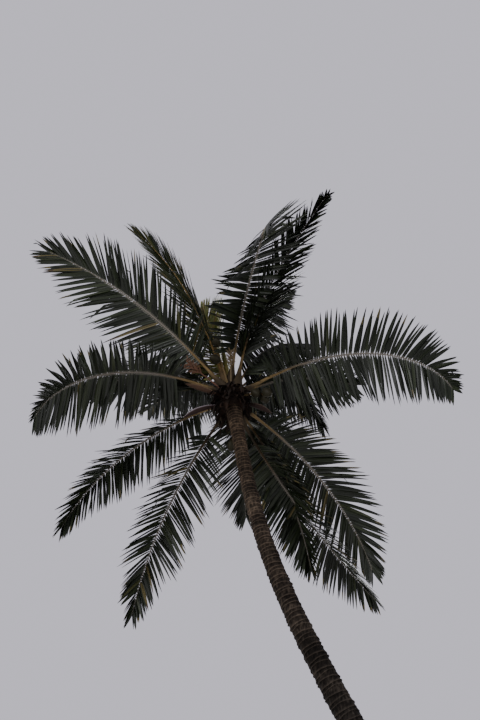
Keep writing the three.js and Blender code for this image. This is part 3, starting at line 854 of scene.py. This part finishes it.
old_finishes = [leaf_finish(code) for code in GREENS + TIPS + HEEL]
fresh_finishes = [leaf_finish(code) for code in FRESH]
TIERS = (
    ("leaflets_high", "frond_leaf", old_finishes,
     [i for i, frond in enumerate(FRONDS) if not frond.get("young") and frond["rise"] > HIGH_RISE]),
    ("leaflets_low", "frond_leaf", old_finishes,
     [i for i, frond in enumerate(FRONDS) if frond["rise"] <= HIGH_RISE]),
    ("leaflets_young", "young_leaf", fresh_finishes,
     [i for i, frond in enumerate(FRONDS) if frond.get("young")]),
)
for name, slot, finishes, members in TIERS:
    leaflets = joined([grown[i] for i in members]).piece(name, finishes)
    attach(leaflets, "root")
    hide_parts(*[frond_names[i] for i in members])

# SPEAR
# The newest leaf, still folded shut like a fan, which stands straight up out of the heart.
SPEAR_LENGTH = 1.9
SPEAR_RADII = ((0, 0.034), (0.3, 0.038), (0.75, 0.024), (1, 0.005))
SPEAR_PLEATS = 14
SPEAR_FOLDS = (0.86, 1.08)
SPEAR_COLOURS = "8f7d4e", "77703a", "5a602c"
SPEAR_ROWS = 40
SPEAR_SINK = 0.03


def spear_shape():
    foot = trunk_tip + heart_axis * (HEART_RADII[-1][0] - SPEAR_SINK)

    def place(column, row):
        share = min(max(row - 1, 0), SPEAR_ROWS) / SPEAR_ROWS
        spot = foot + heart_axis * (share * (SPEAR_LENGTH + SPEAR_SINK))
        if row in (0, SPEAR_ROWS + 2):
            return spot, share
        angle = math.pi * column / SPEAR_PLEATS
        way = heart_across * math.cos(angle) + heart_over * math.sin(angle)
        return spot + way * (along(SPEAR_RADII, share) * SPEAR_FOLDS[column % 2]), share

    shape = bmesh.new()
    roll_sheet(shape, 2 * SPEAR_PLEATS, SPEAR_ROWS + 2, place, ("share",))
    return shape


spear = make_piece("spear", spear_shape(), rib_skin("spear_skin", *SPEAR_COLOURS))
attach(spear, "root")
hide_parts("spear_leaf")

# COCONUTS
# Young nuts in a smooth dark husk with three dull ridges, each held by a cap of tough bracts, on
# thick arched stalks that come out between the leaf bases.
NUT_LENGTH = 0.24
NUT_RADIUS = 0.098
NUTS_FROM = 0.7
NUT_FIRST_TURN = 215
NUT_OUT = 0.088
NUT_AHEAD = 0.03
NUT_SPLAY = 0.45
NUT_SAG = 0.5
NUT_SIDES = 24
NUT_ROWS = 18
NUT_RIDGES = 3
NUT_RIDGE = 0.05
NUT_TAPER = 0.1
CAP_LENGTH = 0.2
CAP_LOBE = 0.16
CAP_ROWS = 5
CAP_SKINS = (1.06, 0.98)
HUSK_COLOURS = "080a05", "181a0c", "3b2f1c"
FLECK_SHARE = 0.3
CAP_COLOURS = "2a1d12", "5b452c"
BUNCH_STALK = (0.024, 0.014)
BUNCH_STALK_COLOURS = "4a3b24", "5f5132", "5f5132"
GOLDEN_TURN = 137.5
STALK_SIDES = 10
STALK_ROWS = 16
STALK_KNOBS = 40
STALK_KNOB = 0.08

# height, rise and the rest place a stalk as they place a frond; nuts is their number.
BUNCHES = (
    dict(bearing=243, rise=67, tip=12, length=1.0, height=0.1, nuts=2),
    dict(bearing=334, rise=14, tip=-60, length=0.72, height=-0.11, nuts=3),
    dict(bearing=84, rise=-20, tip=-80, length=0.8, height=-0.28, nuts=3),
)


def away_from(at, angle):
    """The direction that points away from a stem at an angle round it."""
    return at.side * math.cos(angle) + at.top * math.sin(angle)


def lay_stalk(shape, path, thick, thin):
    """A round stem along a path, which thins evenly to its tip."""
    def place(column, row):
        at = on_path(path, min(max(row - 1, 0), STALK_ROWS) / STALK_ROWS)
        if row in (0, STALK_ROWS + 2):
            return (at.spot,)
        ripple = 1 + STALK_KNOB * noise.noise(at.spot * STALK_KNOBS)
        radius = (thick + (thin - thick) * at.share) * ripple
        return (at.spot + away_from(at, 2 * math.pi * column / STALK_SIDES) * radius,)

    return roll_sheet(shape, STALK_SIDES, STALK_ROWS + 2, place)


def lay_nut(shape, centre, axis, turn):
    """A nut with three soft ridges, and its cap of bracts in a second finish."""
    across = axis.orthogonal().normalized()
    over = axis.cross(across)

    def skin(share, angle, swell):
        bend = math.pi * share
        ridge = 1 + NUT_RIDGE * math.cos(NUT_RIDGES * angle + turn)
        point = 1 - NUT_TAPER + NUT_TAPER * math.cos(bend)
        reach = NUT_RADIUS * math.sin(bend) * ridge * point * swell
        spot = centre - axis * (math.cos(bend) * NUT_LENGTH / 2 * swell)
        return spot + (across * math.cos(angle) + over * math.sin(angle)) * reach

    def husk_place(column, row):
        return (skin(row / NUT_ROWS, 2 * math.pi * column / NUT_SIDES, 1),)

    def cap_place(column, row):
        angle = 2 * math.pi * column / NUT_SIDES
        inner = row > CAP_ROWS
        share = (2 * CAP_ROWS - row if inner else row) / CAP_ROWS * CAP_LENGTH
        lobe = 1 + CAP_LOBE * math.cos(NUT_RIDGES * angle + turn)
        return (skin(share * lobe, angle, CAP_SKINS[inner]),)

    roll_sheet(shape, NUT_SIDES, NUT_ROWS, husk_place)
    for face in roll_sheet(shape, NUT_SIDES, 2 * CAP_ROWS, cap_place):
        face.material_index = 1


def husk():
    """A smooth waxy husk, nearly black-green, browner in patches."""
    finish = Finish("nut_husk", roughness=0.6, specular=0.15)
    dark, light, brown = map(tint, HUSK_COLOURS)
    cloud = finish.speckle(scale=14, detail=4)
    fleck = finish.speckle(scale=90, detail=2)
    finish.coat(finish.blend(fleck * FLECK_SHARE, finish.blend(cloud, dark, light), brown))
    return finish.coat(relief=fleck, height=0.001)


def dry_bract(name, dark, light):
    """A dry woody skin with fine lengthwise streaks."""
    finish = Finish(name, roughness=0.85, specular=0.25)
    cloud = finish.speckle(scale=12, detail=3)
    streak = finish.speckle(scale=70, detail=3, stretch=(1, 1, 0.25))
    base = finish.blend(cloud, tint(dark), tint(light))
    finish.coat(finish.blend(streak * STREAK_SHARE, base, tint(dark)))
    return finish.coat(relief=streak, height=0.003)


def bunch_shape(bunch):
    """Nuts in a spiral round the outer part of their stalk, up to its end."""
    shape = bmesh.new()
    path = stem_path(**bunch)
    for face in lay_stalk(shape, path, *BUNCH_STALK):
        face.material_index = 2
    for i in range(bunch["nuts"]):
        at = on_path(path, NUTS_FROM + (1 - NUTS_FROM) * i / (bunch["nuts"] - 1))
        out = away_from(at, math.radians(NUT_FIRST_TURN + GOLDEN_TURN * i))
        centre = at.spot + out * NUT_OUT + at.ahead * NUT_AHEAD
        axis = (at.ahead + out * NUT_SPLAY - Vector((0, 0, NUT_SAG))).normalized()
        lay_nut(shape, centre, axis, i)
    return shape


stalk_skin = rib_skin("bunch_stalk", *BUNCH_STALK_COLOURS)
nut_finishes = (husk(), dry_bract("nut_cap", *CAP_COLOURS), stalk_skin)
for index, bunch in enumerate(BUNCHES):
    nuts = make_piece(f"coconuts_{index + 1}", bunch_shape(bunch), *nut_finishes)
    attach(nuts, "root")
    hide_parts(f"nut_bunch_{index + 1:02d}")

# FLOWER SPRAYS
# A stalk whose outer part throws out thin wands in a spiral, each set with rows of tiny buds. One
# spray has dried pale, and the other is still a warm red-brown.
SPRAYS = (
    dict(bearing=268, rise=66, tip=50, length=0.85, height=0.03, reach=0.14),
    dict(bearing=208, rise=30, tip=24, length=1.0, height=0.02, reach=0.18),
)
SPRAY_COLOURS = (
    ("3d3326", "64563f", "554936", "7d6c55"), ("3a241a", "6a4a3a", "4a3024", "7d5c48"),
)
SPRAY_STALK = (0.02, 0.008)
WANDS = 30
WANDS_FROM = 0.68
WAND_OPENING = 41
WAND_RADIUS = 0.0045
WAND_SIDES = 4
WAND_ROWS = 5
WAND_TAPER = 0.5
WAND_SAG = (0.1, 0.5)
BUDS = 16
BUDS_FROM = 0.15
BUD_RADIUS = 0.0075


def lay_wand(shape, start, way, length, dice):
    """A drooping wand of square section, with buds set round it in a spiral."""
    bend = Vector((0, 0, -dice.uniform(*WAND_SAG)))
    side = way.orthogonal().normalized()

    def spot_at(share):
        return start + way * (length * share) + bend * (length * share * share * 0.5)

    def place(column, row):
        share = min(max(row - 1, 0), WAND_ROWS) / WAND_ROWS
        if row in (0, WAND_ROWS + 2):
            return (spot_at(share),)
        turned = Matrix.Rotation(2 * math.pi * column / WAND_SIDES, 3, way) @ side
        return (spot_at(share) + turned * (WAND_RADIUS * (1 - WAND_TAPER * share)),)

    roll_sheet(shape, WAND_SIDES, WAND_ROWS + 2, place)
    for i in range(BUDS):
        share = BUDS_FROM + (1 - BUDS_FROM) * i / BUDS
        turned = Matrix.Rotation(math.radians(GOLDEN_TURN * i), 3, way) @ side
        home = Matrix.Translation(spot_at(share) + turned * (WAND_RADIUS + BUD_RADIUS / 2))
        made = bmesh.ops.create_icosphere(shape, subdivisions=1, radius=BUD_RADIUS, matrix=home)
        for corner in made["verts"]:
            for face in corner.link_faces:
                face.material_index = 1


def spray_shape(spray, dice):
    """A stalk with its wands, which are as long as the spray's reach."""
    shape = bmesh.new()
    path = stem_path(**spray)
    lay_stalk(shape, path, *SPRAY_STALK)
    opening = math.radians(WAND_OPENING)
    for i in range(WANDS):
        at = on_path(path, WANDS_FROM + (1 - WANDS_FROM) * i / WANDS)
        out = away_from(at, math.radians(GOLDEN_TURN * i))
        way = at.ahead * math.cos(opening) + out * math.sin(opening)
        lay_wand(shape, at.spot, way, spray["reach"], dice)
    return shape


for index, (spray, colours) in enumerate(zip(SPRAYS, SPRAY_COLOURS)):
    wand_finish = dry_bract(f"flower_wand_{index + 1}", *colours[:2])
    bud_finish = dry_bract(f"flower_bud_{index + 1}", *colours[2:])
    shape = spray_shape(spray, random.Random(60 + index))
    flowers = make_piece(f"flowers_{index + 1}", shape, wand_finish, bud_finish)
    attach(flowers, "root")
    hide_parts(f"flower_spray_{index + 1:02d}")

# SPATHES
# The woody boats that the flower sprays broke out of: keeled below, open above, dried dark brown, and
# darker still with painted shade.
SPATHE_WIDTH = 0.13
SPATHE_DEPTH = 0.07
SPATHE_WIDTHS = ((0, 0.2), (0.25, 0.22), (0.5, 0.85), (0.7, 1), (0.88, 0.6), (1, 0.1))
SPATHE_SECTION = (
    (-1, 0.25), (-0.86, -0.2), (-0.6, -0.45), (-0.3, -0.64), (0, -0.75), (0.3, -0.64),
    (0.6, -0.45), (0.86, -0.2), (1, 0.25), (0.6, 0), (0, -0.35), (-0.6, 0),
)
SPATHE_ROWS = 30
SPATHE_KEEL_SIDES = 8
SPATHE_FLUTE = 0.04
SPATHES = (
    dict(bearing=197, rise=16, tip=2, length=0.9, height=-0.075),
    dict(bearing=177, rise=-4, tip=-44, length=0.96, height=-0.18),
    dict(bearing=108, rise=24, tip=-30, length=0.82, height=-0.07),
    dict(bearing=8, rise=6, tip=-45, length=0.76, height=-0.15),
)
# Each spathe: dark and light wood, both deepened as painted shade, then the lining; the second one's
# lilac-grey lining is partly painted highlight.
SPATHE_SHADE_AND_HIGHLIGHT_COLOURS = (
    ("20130c", "46301f", "6a563f"), ("120907", "2c1711", "857b80"), ("170d0a", "2e1b14", "6e6055"),
    ("170d0a", "281610", "5e5044"),
)


def spathe_shape(spathe):
    """A boat with a fluted keel. Its hollow side is marked, so that it can have its own colour."""
    path = stem_path(**spathe)
    sides = len(SPATHE_SECTION)

    def place(column, row):
        share = min(max(row - 1, 0), SPATHE_ROWS) / SPATHE_ROWS
        at = on_path(path, share)
        inside = column == 0 or column >= SPATHE_KEEL_SIDES
        if row in (0, SPATHE_ROWS + 2):
            return at.spot, inside
        across, up = SPATHE_SECTION[column]
        size = along(SPATHE_WIDTHS, share)
        flute = 1 + SPATHE_FLUTE * (column % 2)
        wide = at.side * (across * SPATHE_WIDTH / 2 * size * flute)
        return at.spot + wide + at.top * (up * SPATHE_DEPTH * size * flute), inside

    shape = bmesh.new()
    roll_sheet(shape, sides, SPATHE_ROWS + 2, place, ("inside",))
    return shape


def spathe_wood(name, dark, light, lining_and_highlight):
    """Dark streaked wood outside, deepened as painted shade, and a smooth pale lining up to the rim,
    which on the second spathe is lilac-grey, partly a painted highlight.
    """
    finish = Finish(name, roughness=0.8, specular=0.25)
    streak = finish.speckle(scale=70, detail=3, stretch=(1, 1, 0.25))
    wood = finish.blend(finish.speckle(scale=12, detail=3), tint(dark), tint(light))
    wood = finish.blend(streak * STREAK_SHARE, wood, tint(dark))
    # The lining on the rim and hollow side is partly painted highlight.
    finish.coat(finish.blend(finish.measure("inside"), wood, tint(lining_and_highlight)))
    return finish.coat(relief=streak, height=0.003)


for index, (spathe, colours) in enumerate(zip(SPATHES, SPATHE_SHADE_AND_HIGHLIGHT_COLOURS)):
    wood = spathe_wood(f"spathe_wood_{index + 1}", *colours)
    boat = make_piece(f"spathe_boat_{index + 1}", spathe_shape(spathe), wood)
    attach(boat, "root")
    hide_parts(f"spathe_{index + 1:02d}")

# STUDIO
# A plain pale floor, a pale even backdrop of light, and four wide soft lamps.
FLOOR_RADIUS = 200
FLOOR_SIDES = 96
FLOOR_DROP = 0.002
FLOOR_COLOUR = "d8d6d2"
BACKDROP = "d6d3df"
BACKDROP_STRENGTH = 1.0
LAMPS = (
    ("key", (-14, -12, 12), 9, 2000),
    ("fill", (9, -10, 6), 7, 800),
    ("back", (3, 12, 20), 10, 2600),
    ("rear", (-12, 14, 7), 8, 1400),
)

floor_shape = bmesh.new()
bmesh.ops.create_circle(floor_shape, cap_ends=True, segments=FLOOR_SIDES, radius=FLOOR_RADIUS)
bmesh.ops.translate(floor_shape, verts=floor_shape.verts, vec=(0, 0, -FLOOR_DROP))
floor_finish = Finish("floor", roughness=0.9, specular=0.2).coat(tint(FLOOR_COLOUR))
floor = make_piece("floor", floor_shape, floor_finish)

world = bpy.data.worlds.new("backdrop")
world.use_nodes = True
backdrop = world.node_tree.nodes["Background"]
backdrop.inputs["Color"].default_value = tint(BACKDROP)
backdrop.inputs["Strength"].default_value = BACKDROP_STRENGTH
bpy.context.scene.world = world

for name, spot, size, power in LAMPS:
    lamp = bpy.data.objects.new(name, bpy.data.lights.new(name, "AREA"))
    lamp.data.shape = "DISK"
    lamp.data.size = size
    lamp.data.energy = power
    lamp.location = spot
    lamp.rotation_euler = (crown - Vector(spot)).to_track_quat("-Z", "Y").to_euler()
    bpy.context.scene.collection.objects.link(lamp)
